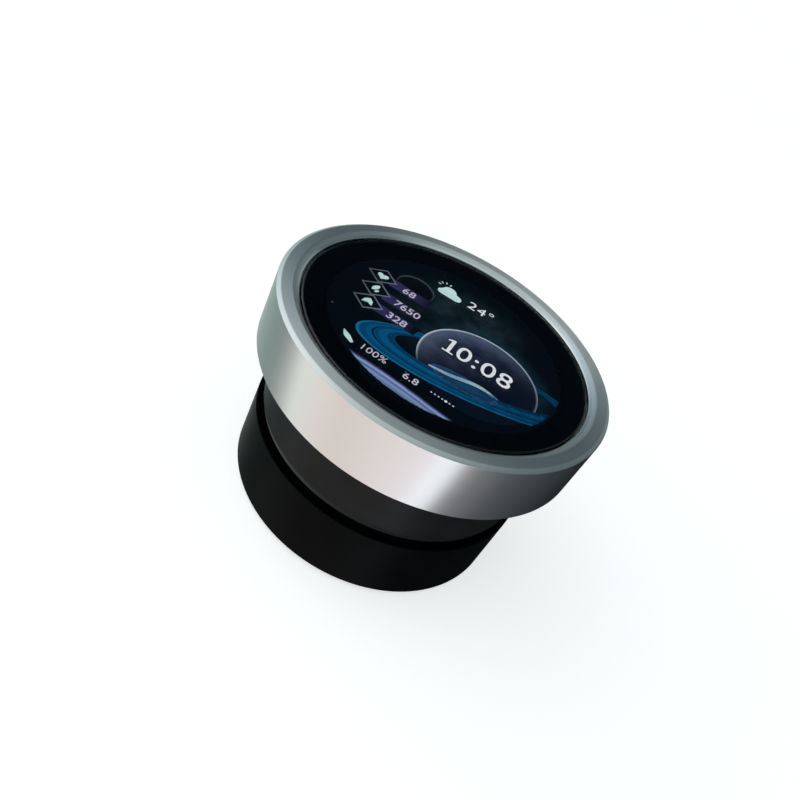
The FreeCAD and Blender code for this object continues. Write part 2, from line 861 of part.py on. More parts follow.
def make_switch():
    """The push switch under the display's board, and the plunger that meets the neck's post.

    The plunger is as tall as it can be and still leave room above it for the whole press.
    """
    low = "board_bottom - switch_height"
    body = rounded_block(
        "switch_case_solid", "0", "0", low, "switch_width", "switch_width", "switch_height", 0.4
    )
    del parts["switch_case_solid"]
    bore = rod(
        "switch_case_bore", "0", "0", f"{low} - 1", "plunger_radius + 0.08", "switch_height + 1 - switch_roof"
    )
    keep("switch_case", cut("switch_case", body, bore))
    foot = "post_top + 0.02"
    height = f"board_bottom - switch_roof - ({foot}) - press_travel - 0.2"
    keep("switch_plunger", rod("switch_plunger", "0", "0", foot, "plunger_radius", height))


# ---------------------------------------------------------------- turning ring and encoder


def make_knob_ring():
    """The aluminium ring: a turned tube with a chamfered rim and a lip that slopes down to the glass."""
    ring = turned(
        "knob_ring",
        [
            ("ring_bore", "ring_bottom"),
            ("ring_radius", "ring_bottom"),
            ("ring_radius", "ring_top - ring_rim_drop"),
            ("ring_radius - ring_rim_width", "ring_top"),
            ("lip_radius + ring_slope", "ring_top"),
            ("lip_radius", "glass_top"),
            ("lip_radius", "glass_top - lip_thickness"),
            ("ring_bore", "glass_top - lip_thickness"),
        ],
    )
    softened = [
        ("ring_radius", "ring_top - ring_rim_drop"),
        ("ring_radius - ring_rim_width", "ring_top"),
        ("lip_radius + ring_slope", "ring_top"),
    ]
    dress(ring, "Fillet", "ring_softening", softened)
    dress(ring, "Chamfer", 0.35, [("ring_radius", "ring_bottom"), ("ring_bore", "ring_bottom")])


def encoder_x():
    """The distance between the gears' axes. The pinion sits a little inwards, which leaves backlash."""
    return "((ring_teeth - pinion_teeth) * tooth_module / 2 - mesh_ease)"


def gear_wire(teeth, centre_x, height, internal):
    """A spur gear's closed outline with involute flanks. Internal gives the gap left by a ring gear."""
    module = size("tooth_module")
    pressure = math.radians(20)
    pitch = module * teeth / 2
    base = pitch * math.cos(pressure)
    tip, root = pitch + module, pitch - 1.25 * module
    if internal:
        tip, root = pitch + 1.25 * module, pitch - module
    inner = max(root, base)
    half_at_pitch = math.pi / (2 * teeth) + (0.03 if internal else -0.03) * module / pitch
    roll_at_pitch = math.tan(pressure) - pressure

    def half_angle(radius):
        """Half of the angle that a tooth spans at a radius, from its middle to its involute flank."""
        angle = math.acos(min(1.0, base / radius))
        return half_at_pitch + roll_at_pitch - (math.tan(angle) - angle)

    def point(radius, turn):
        return Vector(centre_x + radius * math.cos(turn), radius * math.sin(turn), height)

    edges = []
    step = 2 * math.pi / teeth
    for tooth in range(teeth):
        turn = tooth * step
        middle = (inner + tip) / 2
        rising = [point(r, turn - half_angle(r)) for r in (inner, middle, tip)]
        falling = [point(r, turn + half_angle(r)) for r in (tip, middle, inner)]
        foot_turn = half_angle(inner)
        next_foot = step - foot_turn
        if inner > root:
            edges.append(Part.LineSegment(point(root, turn - foot_turn), rising[0]).toShape())
        edges.append(Part.Arc(*rising).toShape())
        edges.append(Part.Arc(rising[2], point(tip, turn), falling[0]).toShape())
        edges.append(Part.Arc(*falling).toShape())
        if inner > root:
            edges.append(Part.LineSegment(falling[2], point(root, turn + foot_turn)).toShape())
        valley = [point(root, turn + a) for a in (foot_turn, step / 2, next_foot)]
        edges.append(Part.Arc(*valley).toShape())
    return Part.Wire(edges)


def make_gears():
    """The ring gear pressed into the knob ring, and the encoder's pinion inside it."""
    low, height = size("gear_bottom"), size("gear_top - gear_bottom")
    ring_teeth, pinion_teeth = round(size("ring_teeth")), round(size("pinion_teeth"))
    rim = Part.Wire(Part.makeCircle(size("ring_bore"), Vector(0, 0, low)))
    gap = gear_wire(ring_teeth, 0, low, internal=True)
    ring = doc.addObject("Part::Feature", "ring_gear")
    ring.Shape = Part.makeFace([rim, gap], "Part::FaceMakerBullseye").extrude(UP * height)
    keep("ring_gear", ring)

    x = size(encoder_x())
    bore = Part.Wire(Part.makeCircle(size("encoder_shaft"), Vector(x, 0, low + 0.3)))
    teeth = gear_wire(pinion_teeth, x, low + 0.3, internal=False)
    pinion = doc.addObject("Part::Feature", "encoder_pinion")
    pinion.Shape = Part.makeFace([teeth, bore], "Part::FaceMakerBullseye").extrude(UP * (height - 0.6))
    keep("encoder_pinion", pinion)


def make_encoder():
    """The encoder's case under the display's board, and the shaft that carries the pinion."""
    x = encoder_x()
    low = "board_bottom - encoder_height"
    case = block("encoder_case_solid", x, "0", low, "encoder_width", "encoder_width", "encoder_height")
    bore = rod(
        "encoder_case_bore", x, "0", f"{low} - 1", "encoder_shaft + running_gap", "encoder_height + 0.6"
    )
    keep("encoder_case", cut("encoder_case", case, bore))
    keep("encoder_shaft", rod("encoder_shaft", x, "0", "gear_bottom + 0.1", "encoder_shaft", "7.1"))


def make_slides():
    """The plastic ring that centres the knob ring, and the washers above and below its gear."""
    tube("glide_ring", "carrier_radius", "glide_radius", "floor_bottom + 0.6", "ledge_top - 0.5")
    tube("upper_washer", "washer_bore", "carrier_radius - loose_gap", "gear_top + washer_gap", "floor_bottom")
    tube("lower_washer", "washer_bore", "skirt_radius - 0.4", "skirt_top", "gear_bottom - washer_gap")


def make_screws():
    """Each kind of screw is one node."""
    large = dict(shank="large_screw", head="large_head")
    cover = dict(seat="cover_bottom + countersunk_depth", end="cover_top + 6.5", shank="large_screw")
    cover.update(head="countersunk_head", head_height="countersunk_depth", countersunk=True)
    screws_around("cover_screws", "cover_bolt_circle", 45, 4, **cover)
    neck = dict(seat="deck_bottom", end="deck_top + 7.5", head_height="1.2", **large)
    screws_around("neck_screws", "neck_boss_circle", 30, 3, **neck)
    board = dict(seat="main_board_bottom", end="main_board_top + 4.5", head_height="1.2", **large)
    made = []
    for i, degrees in enumerate(BOARD_POST_ANGLES):
        x, y = polar("board_post_circle", degrees)
        made.append(screw(f"board_screws_{i + 1}", x, y, **board))
    group("board_screws", made)
    carrier = dict(seat="skirt_deck_bottom", end="floor_top - 0.2", head_height="1.1", **large)
    screws_around("carrier_screws", "carrier_bolt_circle", 45, 4, **carrier)
    display = dict(
        seat="board_top", end="board_bottom - 1.6", shank="small_screw", head="1.25", head_height="0.7"
    )
    screws_around("display_screws", "display_bolt_circle", 45, 4, **display)


def check_and_write():
    """Stops on any failed object or bad shape, then writes one STEP file for each piece."""
    doc.recompute()
    bad = [o.Name for o in doc.Objects if "Invalid" in o.State or "Error" in o.State]
    for label, o in parts.items():
        if o.Shape.isNull() or not o.Shape.isValid() or not o.Shape.Solids:
            bad.append(label)
    if bad:
        raise RuntimeError(f"failed objects: {bad}")
    os.makedirs("parts", exist_ok=True)
    for name in os.listdir("parts"):
        if name.endswith(".step") and name[:-5] not in parts:
            os.remove(os.path.join("parts", name))
    for label, piece in parts.items():
        piece.Shape.exportStep(f"parts/{label}.step")
        print(f"{label:22s} solids {len(piece.Shape.Solids)}  volume {piece.Shape.Volume:10.2f}")


fill_sheet()
make_base_shell()
make_bottom_cover()
make_foot()
make_main_board()
make_cable_socket()
make_battery()
make_neck()
make_guides()
make_skirt()
make_carrier()
make_display()
make_ribbon()
make_switch()
make_knob_ring()
make_gears()
make_encoder()
make_slides()
make_screws()
check_and_write()
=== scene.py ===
import json
import math

import bmesh
import bpy
from mathutils import Matrix, Vector


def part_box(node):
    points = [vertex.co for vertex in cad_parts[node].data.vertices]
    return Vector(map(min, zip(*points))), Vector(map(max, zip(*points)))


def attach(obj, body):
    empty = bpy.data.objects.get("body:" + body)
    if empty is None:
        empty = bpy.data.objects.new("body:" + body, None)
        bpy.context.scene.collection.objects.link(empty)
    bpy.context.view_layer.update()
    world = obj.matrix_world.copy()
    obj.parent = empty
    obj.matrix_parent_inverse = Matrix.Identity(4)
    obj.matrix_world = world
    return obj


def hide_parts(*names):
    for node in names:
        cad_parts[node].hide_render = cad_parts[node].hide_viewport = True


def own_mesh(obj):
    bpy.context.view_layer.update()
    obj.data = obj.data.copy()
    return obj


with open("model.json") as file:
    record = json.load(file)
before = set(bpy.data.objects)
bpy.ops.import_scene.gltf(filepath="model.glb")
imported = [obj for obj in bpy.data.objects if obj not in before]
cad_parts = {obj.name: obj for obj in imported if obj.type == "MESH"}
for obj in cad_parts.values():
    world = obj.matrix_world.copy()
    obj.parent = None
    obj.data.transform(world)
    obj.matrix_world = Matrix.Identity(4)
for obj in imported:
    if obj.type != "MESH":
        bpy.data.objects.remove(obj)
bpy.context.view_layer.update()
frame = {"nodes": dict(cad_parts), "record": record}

MM = 0.001
NODES = frame["nodes"]

# How far the picture's lines of figures slope.
TILT = math.radians(-3.2)
# The picture's pieces end here, inside the panel's edge.
PICTURE_EDGE = 28.2
# How close the ring's turned lines are, and how far its blasted rim reaches down from its top.
LINES_PER_MM = 9.0
BLASTED_DEPTH = 0.65


# ---------------------------------------------------------------- node trees


class Tree:
    """Builds a node tree: each call adds a node, sets or links its inputs, and returns an output."""

    def __init__(self, tree):
        self.tree = tree
        tree.nodes.clear()

    def node(self, kind, settings=None, **inputs):
        made = self.tree.nodes.new(kind)
        for key, value in (settings or {}).items():
            setattr(made, key, value)
        for key, value in inputs.items():
            name = key.replace("_", " ")
            socket = made.inputs[int(key[1:])] if key[0] == "i" and key[1:].isdigit() else made.inputs[name]
            if isinstance(value, bpy.types.NodeSocket):
                self.tree.links.new(value, socket)
            else:
                socket.default_value = value
        return made

    def math(self, operation, a, b=0.0, clamp=False):
        settings = {"operation": operation, "use_clamp": clamp}
        return self.node("ShaderNodeMath", settings, i0=a, i1=b).outputs[0]

    def place(self):
        """Object coordinates in millimetres."""
        where = self.node("ShaderNodeTexCoord").outputs["Object"]
        return self.node("ShaderNodeVectorMath", {"operation": "SCALE"}, i0=where, Scale=1000.0).outputs[0]

    def split(self, vector):
        return self.node("ShaderNodeSeparateXYZ", None, i0=vector).outputs

    def noise(self, vector, scale, detail=3.0, rough=0.5):
        settings = dict(Scale=scale, Detail=detail, Roughness=rough)
        return self.node("ShaderNodeTexNoise", None, Vector=vector, **settings).outputs[0]

    def ramp(self, value, stops):
        """A colour ramp; stops are (position, colour)."""
        made = self.node("ShaderNodeValToRGB", None, Fac=value)
        band = made.color_ramp
        while len(band.elements) < len(stops):
            band.elements.new(0.5)
        for element, (position, colour) in zip(band.elements, sorted(stops)):
            element.position = position
            element.color = (*colour, 1.0)
        return made.outputs[0]

    def mix(self, share, a, b, blend="MIX"):
        settings = {"data_type": "RGBA", "blend_type": blend}
        made = self.node("ShaderNodeMix", settings)
        for index, value in ((0, share), (6, a), (7, b)):
            if isinstance(value, bpy.types.NodeSocket):
                self.tree.links.new(value, made.inputs[index])
            else:
                made.inputs[index].default_value = (*value, 1.0) if index else value
        return made.outputs[2]

    def range(self, value, low, high, to_low=0.0, to_high=1.0):
        made = self.node("ShaderNodeMapRange", {"interpolation_type": "SMOOTHSTEP"})
        self.tree.links.new(value, made.inputs[0])
        for index, number in enumerate((low, high, to_low, to_high), start=1):
            made.inputs[index].default_value = number
        return made.outputs[0]

    def bump(self, height, distance_mm, strength=1.0):
        made = self.node("ShaderNodeBump", None, Height=height, Distance=distance_mm * MM, Strength=strength)
        return made.outputs[0]

    def finish(self, shader):
        self.node("ShaderNodeOutputMaterial", None, Surface=shader)


def new_material(name):
    made = bpy.data.materials.new(name)
    made.use_nodes = True
    return made, Tree(made.node_tree)


def surface(name, colour, second, rough, metal=0.0, scale=0.4, grain=0.0, specular=0.5, coat=0.0, ior=1.5):
    """A plain surface: two close colours mottled by noise, uneven roughness and a fine grain."""
    made, t = new_material(name)
    place = t.place()
    broad = t.noise(place, scale)
    fine = t.noise(place, scale * 14, 4.0, 0.6)
    tint = t.mix(t.range(broad, 0.3, 0.7), colour, second)
    uneven = t.range(fine, 0.25, 0.75, rough * 0.85, min(1.0, rough * 1.15))
    extra = {"Normal": t.bump(fine, grain)} if grain else {}
    shader = t.node(
        "ShaderNodeBsdfPrincipled",
        None,
        Base_Color=tint,
        Roughness=uneven,
        Metallic=metal,
        Specular_IOR_Level=specular,
        IOR=ior,
        Coat_Weight=coat,
        **extra,
    )
    t.finish(shader.outputs[0])
    return made


def turned_metal(name, colour, second, rough, drawn_out, top, top_rough):
    """Metal turned round Z, with highlights drawn out across its fine lines, and a blasted rim."""
    made, t = new_material(name)
    place = t.place()
    x, y, z = t.split(place)
    radius = t.math("SQRT", t.math("ADD", t.math("MULTIPLY", x, x), t.math("MULTIPLY", y, y)))
    angle = t.math("ARCTAN2", y, x)
    across, upward = (t.math("MULTIPLY", v, LINES_PER_MM) for v in (radius, z))
    lines = t.node("ShaderNodeCombineXYZ", None, X=across, Y=upward, Z=angle)
    streak = t.noise(lines.outputs[0], 1.0, 4.0, 0.65)
    broad = t.noise(place, 0.12)
    tint = t.mix(streak, colour, second)
    blasted = t.range(z, top - BLASTED_DEPTH, top - BLASTED_DEPTH + 0.15)
    flat = t.range(z, top - 0.04, top - 0.015)
    polish = t.math("ADD", rough, t.math("MULTIPLY", blasted, top_rough - rough))
    polish = t.math("ADD", polish, t.math("MULTIPLY", flat, 0.1))
    uneven = t.math("MULTIPLY", polish, t.range(streak, 0.3, 0.7, 0.93, 1.07))
    uneven = t.math("ADD", uneven, t.range(broad, 0.3, 0.7, -0.01, 0.01))
    spread = t.math("SUBTRACT", 1.0, t.math("MULTIPLY", blasted, 0.6))
    spread = t.math("ADD", spread, t.math("MULTIPLY", flat, 0.6))
    tangent = t.node("ShaderNodeTangent", {"direction_type": "RADIAL", "axis": "Z"}).outputs[0]
    shader = t.node(
        "ShaderNodeBsdfPrincipled",
        None,
        Base_Color=tint,
        Roughness=uneven,
        Metallic=1.0,
        Anisotropic=t.math("MULTIPLY", drawn_out, spread),
        Anisotropic_Rotation=0.25,
        Tangent=tangent,
        Normal=t.bump(streak, 0.0004),
    )
    t.finish(shader.outputs[0])
    return made


def light_only(t, colour, strength=1.0):
    """A black surface that only gives light."""
    made = t.node(
        "ShaderNodeBsdfPrincipled",
        None,
        Base_Color=(0.0, 0.0, 0.0, 1.0),
        Roughness=0.5,
        Specular_IOR_Level=0.0,
        Emission_Color=colour,
        Emission_Strength=strength,
    )
    return made.outputs[0]


def glow(name, field, stops, strength=1.0, texture=0.0, scale=0.5):
    """A lit part of the picture. field(t, x, y), x and y in millimetres, gives what the colour ramp reads."""
    made, t = new_material(name)
    place = t.place()
    x, y, _ = t.split(place)
    value = field(t, x, y)
    cloud = t.noise(place, scale, 5.0, 0.6)
    if texture:
        value = t.math("ADD", value, t.range(cloud, 0.25, 0.75, -texture, texture), True)
    colour = t.ramp(value, stops)
    colour = t.mix(t.range(cloud, 0.3, 0.7, 0.0, 0.12), colour, (0.0, 0.0, 0.0))
    t.finish(light_only(t, colour, strength))
    return made


def distance_from(cx, cy, reach, stretch=1.0):
    """A field that is 0 at a point and 1 at a distance of reach."""

    def field(t, x, y):
        dx = t.math("SUBTRACT", x, cx)
        dy = t.math("MULTIPLY", t.math("SUBTRACT", y, cy), stretch)
        total = t.math("ADD", t.math("MULTIPLY", dx, dx), t.math("MULTIPLY", dy, dy))
        return t.math("DIVIDE", t.math("SQRT", total), reach, True)

    return field


def along(x0, y0, x1, y1):
    """A field that runs from 0 at the first point to 1 at the second."""
    span = (x1 - x0) ** 2 + (y1 - y0) ** 2

    def field(t, x, y):
        a = t.math("MULTIPLY", t.math("SUBTRACT", x, x0), (x1 - x0) / span)
        b = t.math("MULTIPLY", t.math("SUBTRACT", y, y0), (y1 - y0) / span)
        return t.math("ADD", a, b, True)

    return field


# ---------------------------------------------------------------- shapes


def link(name, mesh, finish, body, crease=35.0, place=None):
    """Makes the object, smooth except at its sharp edges, and puts it on its body."""
    work = bmesh.new()
    work.from_mesh(mesh)
    for face in work.faces:
        face.smooth = True
    for edge in work.edges:
        if len(edge.link_faces) == 2:
            edge.smooth = edge.calc_face_angle(0.0) < math.radians(crease)
    work.to_mesh(mesh)
    work.free()
    made = bpy.data.objects.new(name, mesh)
    bpy.context.scene.collection.objects.link(made)
    made.data.materials.append(finish)
    if place is not None:
        made.matrix_world = place
    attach(made, body)
    return made


def soften(outline, radius, steps=4):
    """Rounds every corner of a closed outline of (radius, height) that has the room for it."""
    made = []
    count = len(outline)
    for i, corner in enumerate(outline):
        here = Vector(corner)
        back, on = Vector(outline[i - 1]) - here, Vector(outline[(i + 1) % count]) - here
        reach = min(radius, back.length * 0.45, on.length * 0.45)
        if here.x < 1e-6:
            made.append(tuple(here))
            continue
        start, end = here + back.normalized() * reach, here + on.normalized() * reach
        for k in range(steps + 1):
            s = k / steps
            made.append(tuple((1 - s) ** 2 * start + 2 * s * (1 - s) * here + s * s * end))
    return made


def lathe(name, outline, finish, body, segments=256, crease=35.0):
    """A closed outline of (radius, height) in millimetres, turned round Z."""
    work = bmesh.new()
    rings = []
    for r, z in outline:
        if r < 1e-6:
            rings.append([work.verts.new((0, 0, z * MM))] * segments)
            continue
        turn = [2 * math.pi * i / segments for i in range(segments)]
        rings.append([work.verts.new((r * MM * math.cos(a), r * MM * math.sin(a), z * MM)) for a in turn])
    for low, high in zip(rings, rings[1:] + rings[:1]):
        for i in range(segments):
            j = (i + 1) % segments
            corners = list(dict.fromkeys((low[i], low[j], high[j], high[i])))
            if len(corners) > 2:
                work.faces.new(corners)
    bmesh.ops.recalc_face_normals(work, faces=work.faces)
    mesh = bpy.data.meshes.new(name)
    work.to_mesh(mesh)
    work.free()
    return link(name, mesh, finish, body, crease)


def sheet_of(name, points, rows, columns, low, thick, finish, closed=False, place=None):
    """A thin layer of the picture. points(u, v) gives x and y; what lies outside PICTURE_EDGE is left out."""
    work = bmesh.new()
    grid = []
    for i in range(rows + 1):
        grid.append([Vector((*points(i / rows, j / columns), 0)) for j in range(columns + 1)])
    made = {}

    def corner(i, j):
        key = (i, j % columns if closed else j)
        if key not in made:
            p = grid[key[0]][key[1]]
            made[key] = work.verts.new((p.x * MM, p.y * MM, (low + thick) * MM))
        return made[key]

    for i in range(rows):
        for j in range(columns):
            around = [(i, j), (i, j + 1), (i + 1, j + 1), (i + 1, j)]
            if all((place @ grid[a][b] if place else grid[a][b]).length < PICTURE_EDGE for a, b in around):
                corners = list(dict.fromkeys(corner(a, b) for a, b in around))
                if len(corners) > 2 and len({tuple(c.co) for c in corners}) > 2:
                    work.faces.new(corners)
    bmesh.ops.remove_doubles(work, verts=work.verts, dist=1e-7)
    bmesh.ops.recalc_face_normals(work, faces=work.faces)
    if sum(f.normal.z for f in work.faces) < 0:
        bmesh.ops.reverse_faces(work, faces=work.faces)
    mesh = bpy.data.meshes.new(name)
    work.to_mesh(mesh)
    work.free()
    piece = link(name, mesh, finish, "head", place=place)
    thicken(piece, thick)
    return piece


def thicken(piece, thick):
    solid = piece.modifiers.new("thickness", "SOLIDIFY")
    solid.thickness = thick * MM
    solid.offset = -1.0


def outline_plate(name, loops, low, thick, finish):
    """A flat plate of closed loops of (x, y) in millimetres. A loop inside another is a hole."""
    curve = bpy.data.curves.new(name, "CURVE")
    curve.dimensions = "2D"
    curve.fill_mode = "BOTH"
    curve.extrude = thick / 2 * MM
    for loop in loops:
        spline = curve.splines.new("POLY")
        spline.points.add(len(loop) - 1)
        for point, (x, y) in zip(spline.points, loop):
            point.co = (x * MM, y * MM, 0, 1)
        spline.use_cyclic_u = True
    return from_curve(name, curve, low + thick / 2, finish)


def from_curve(name, curve, z, finish, fit=None):
    """Turns a flat curve or text into a mesh at height z. fit is (centre x, centre y, height of figures)."""
    holder = bpy.data.objects.new(name, curve)
    bpy.context.scene.collection.objects.link(holder)
    bpy.context.view_layer.update()
    ready = holder.evaluated_get(bpy.context.evaluated_depsgraph_get())
    mesh = bpy.data.meshes.new_from_object(ready)
    bpy.data.objects.remove(holder)
    if fit:
        cx, cy, height = fit
        xs = [v.co.x for v in mesh.vertices]
        ys = [v.co.y for v in mesh.vertices]
        scale = height * MM / (max(ys) - min(ys))
        middle = Vector(((max(xs) + min(xs)) / 2, (max(ys) + min(ys)) / 2, 0))
        turn = Matrix.Rotation(TILT, 4, "Z") @ Matrix.Diagonal((scale, scale, 1, 1))
        mesh.transform(Matrix.Translation((cx * MM, cy * MM, 0)) @ turn @ Matrix.Translation(-middle))
    mesh.transform(Matrix.Translation((0, 0, z * MM)))
    work = bmesh.new()
    work.from_mesh(mesh)
    bmesh.ops.remove_doubles(work, verts=work.verts, dist=2e-6)
    bmesh.ops.recalc_face_normals(work, faces=work.faces)
    work.to_mesh(mesh)
    work.free()
    return link(name, mesh, finish, "head", place=PICTURE)


def turned(cx, cy, x, y, angle):
    """The point (x, y) from a centre, turned round that centre."""
    return cx + x * math.cos(angle) - y * math.sin(angle), cy + x * math.sin(angle) + y * math.cos(angle)


def tilted(points, cx, cy):
    """Points about a centre, turned with the picture's lines of figures."""
    return [turned(cx, cy, x, y, TILT) for x, y in points]


def figures(name, body, cx, cy, height, finish, weight=0.0, spacing=1.0):
    """Digits on the screen."""
    curve = bpy.data.curves.new(name, "FONT")
    curve.body = body
    curve.size = MM * 4
    curve.offset = weight * MM
    curve.resolution_u = 6
    curve.space_character = spacing
    low, thick = LAYER["figures"]
    curve.extrude = thick / 2 * MM
    middle = low + thick / 2
    return from_curve(name, curve, middle, finish, (cx, cy, height))


def circle(cx, cy, radius, count=48, stretch=1.0):
    """A circle, or an ellipse whose height is stretch times its width."""
    angles = [2 * math.pi * i / count for i in range(count)]
    return [(cx + radius * math.cos(a), cy + stretch * radius * math.sin(a)) for a in angles]


# ---------------------------------------------------------------- a finish for each of the record's slots

RING_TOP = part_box("knob_ring")[1].z / MM
# The fine, even grain of the moulded collar and drum.
FINE = dict(scale=0.2, grain=0.002)
# Each slot's two colours and roughness, and what else its surface is told.
SURFACES = {
    "grey_collar": ((0.0065, 0.007, 0.0075), (0.009, 0.0095, 0.0105), 0.33, dict(ior=1.22, **FINE)),
    "gloss_black": ((0.002, 0.002, 0.0025), (0.003, 0.003, 0.0035), 0.09, dict(scale=0.2, coat=0.4)),
    "satin_black": ((0.0008, 0.0013, 0.0017), (0.0013, 0.0019, 0.0023), 0.32, dict(ior=1.1, **FINE)),
    "carrier_black": ((0.006, 0.006, 0.007), (0.009, 0.009, 0.01), 0.5, dict(grain=0.006)),
    "clear_adhesive": ((0.75, 0.78, 0.8), (0.7, 0.73, 0.75), 0.2, dict()),
    "lcd_panel": ((0.006, 0.007, 0.009), (0.01, 0.011, 0.013), 0.2, dict()),
    "black_tape": ((0.008, 0.008, 0.008), (0.012, 0.012, 0.012), 0.85, dict(grain=0.02)),
    "light_guide": ((0.82, 0.84, 0.84), (0.76, 0.79, 0.8), 0.12, dict()),
    "stamped_steel": ((0.56, 0.57, 0.57), (0.64, 0.64, 0.63), 0.32, dict(metal=1.0, grain=0.004)),
    "screw_steel": ((0.42, 0.42, 0.43), (0.52, 0.52, 0.52), 0.3, dict(metal=1.0, scale=1.2)),
    "spring_steel": ((0.5, 0.5, 0.52), (0.62, 0.61, 0.6), 0.25, dict(metal=1.0, scale=1.5)),
    "shaft_steel": ((0.6, 0.6, 0.61), (0.68, 0.68, 0.68), 0.2, dict(metal=1.0)),
    "bush_bronze": ((0.55, 0.34, 0.15), (0.62, 0.4, 0.2), 0.35, dict(metal=1.0, scale=1.0)),
    "white_acetal": ((0.75, 0.75, 0.72), (0.8, 0.8, 0.78), 0.4, dict(grain=0.004)),
    "board_laminate": ((0.012, 0.07, 0.035), (0.018, 0.1, 0.05), 0.35, dict(scale=0.6, grain=0.01)),
    "socket_plastic": ((0.62, 0.58, 0.48), (0.68, 0.64, 0.54), 0.5, dict(grain=0.005)),
    "black_plastic": ((0.012, 0.012, 0.013), (0.018, 0.018, 0.019), 0.45, dict(grain=0.005)),
    "switch_plunger": ((0.5, 0.06, 0.04), (0.58, 0.09, 0.06), 0.4, dict(scale=1.0)),
    "flexible_circuit": ((0.42, 0.2, 0.05), (0.5, 0.26, 0.08), 0.3, dict(scale=0.8)),
    "battery_film": ((0.45, 0.47, 0.5), (0.55, 0.56, 0.58), 0.28, dict(metal=0.8, scale=0.15, grain=0.02)),
    "wire_cover": ((0.4, 0.02, 0.02), (0.48, 0.03, 0.03), 0.45, dict(scale=1.0)),
    "rubber_foot": ((0.012, 0.012, 0.012), (0.02, 0.02, 0.02), 0.85, dict(scale=0.8, grain=0.02)),
}
FINISH = {
    name: surface(name, colour, second, rough, **more)
    for name, (colour, second, rough, more) in SURFACES.items()
}
aluminium = ((0.80, 0.81, 0.82), (0.88, 0.89, 0.90))
ALUMINIUM = turned_metal("turned_aluminium", *aluminium, 0.19, drawn_out=0.8, top=RING_TOP, top_rough=0.41)
FINISH["turned_aluminium"] = ALUMINIUM


def glass_finish():
    """Clear glass with faint unevenness in its polish."""
    made, t = new_material("cover_glass")
    polish = t.range(t.noise(t.place(), 0.05), 0.3, 0.7, 0.004, 0.014)
    shader = t.node(
        "ShaderNodeBsdfPrincipled",
        None,
        Base_Color=(1.0, 1.0, 1.0, 1.0),
        Roughness=polish,
        IOR=1.5,
        Transmission_Weight=1.0,
    )
    t.finish(shader.outputs[0])
    return made


FINISH["cover_glass"] = glass_finish()

for subpart in frame["record"]["subparts"]:
    node = NODES[subpart["node"]]
    node.data.materials.clear()
    node.data.materials.append(FINISH[subpart["material_slot"]])


# ---------------------------------------------------------------- ring and glass

ring_low, ring_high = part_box("knob_ring")
outer, low, top = ring_high.x / MM, ring_low.z / MM, ring_high.z / MM
bore, lip = 36.6, 34.5
glass_low, glass_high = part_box("cover_glass")
glass_top = glass_high.z / MM
ring_outline = [
    (bore, low + 0.35),
    (bore + 0.35, low),
    (outer - 0.35, low),
    (outer, low + 0.35),
    (outer, top - 0.5),
    (outer - 0.9, top),
    (lip + 1.6, top),
    (lip, glass_top),
    (lip, glass_top - 1.2),
    (bore, glass_top - 1.2),
]
ring = lathe("ring_lathe", soften(ring_outline, 0.16), ALUMINIUM, "ring", 320)
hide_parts("knob_ring")

# The glass lies a hair above the printed border, which lies on the tape; the picture is between them.
GLASS_LOW = glass_low.z / MM + 0.02
glass_edge = glass_high.x / MM
glass_outline = [(0, GLASS_LOW), (glass_edge, GLASS_LOW)]
for step in range(9):
    a = math.radians(90 * step / 8)
    glass_outline.append((glass_edge - 0.6 + 0.6 * math.cos(a), glass_top - 0.6 + 0.6 * math.sin(a)))
glass_outline.append((0, glass_top))
glass = lathe("glass_disc", glass_outline, FINISH["cover_glass"], "head", 256)
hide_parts("cover_glass")

# The radius of the lit picture, and of the printed border's opening.
LIT = 28.15
WINDOW = 28.6
printed = surface(
    "printed_border", (0.0008, 0.0012, 0.0018), (0.0016, 0.0024, 0.0034), 0.6, scale=0.05, specular=0.0
)
lathe(
    "glass_print",
    [
        (WINDOW, GLASS_LOW - 0.018),
        (glass_edge - 0.1, GLASS_LOW - 0.018),
        (glass_edge - 0.1, GLASS_LOW - 0.002),
        (WINDOW, GLASS_LOW - 0.002),
    ],
    printed,
    "head",
)


# ---------------------------------------------------------------- picture on the screen

# The picture forms inside the panel, 1 mm below the cover glass, so it shifts when it is seen at a slant.
# BACK is the height of its lowest layer, and PICTURE sets its pieces where they look right from the front.
panel_low, panel_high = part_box("display_panel")
BACK = panel_low.z / MM + 0.53
SHIFT_X, SHIFT_Y, SWELL = -0.05, 1.65, 1.012
PICTURE = Matrix.Translation((SHIFT_X * MM, SHIFT_Y * MM, 0)) @ Matrix.Diagonal((SWELL, SWELL, 1, 1))
panel_edge = panel_high.x / MM
panel_outline = [(0, panel_low.z / MM), (panel_edge, panel_low.z / MM), (panel_edge, BACK), (0, BACK)]
panel = lathe("panel_plate", panel_outline, FINISH["lcd_panel"], "head", 128)
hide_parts("display_panel")
masks = (("inner", LIT, panel_edge - 0.05, BACK + 0.155), ("outer", WINDOW, 31.8, BACK + 0.47))
for part, inner, outside, z in masks:
    outline = [(inner, z), (outside, z), (outside, z + 0.02), (inner, z + 0.02)]
    lathe(f"panel_mask_{part}", outline, printed, "head")
# Each layer's height and thickness.
LAYER = {
    "sky": (BACK + 0.002, 0.02),
    "far": (BACK + 0.03, 0.012),
    "band_back": (BACK + 0.045, 0.012),
    "planet": (BACK + 0.06, 0.012),
    "band": (BACK + 0.075, 0.012),
    "near": (BACK + 0.09, 0.012),
    "bars": (BACK + 0.105, 0.012),
    "figures": (BACK + 0.12, 0.02),
}
# The discs' centres and radii, in millimetres from the panel's centre, and how deep the horizon's light goes.
PLANET = (9.46, -7.6, 14.25)
MOON = (-12.6, 9.95, 4.75)
HORIZON = (-22.0, -192.9, 170.0)
HORIZON_DEPTH = 5.0
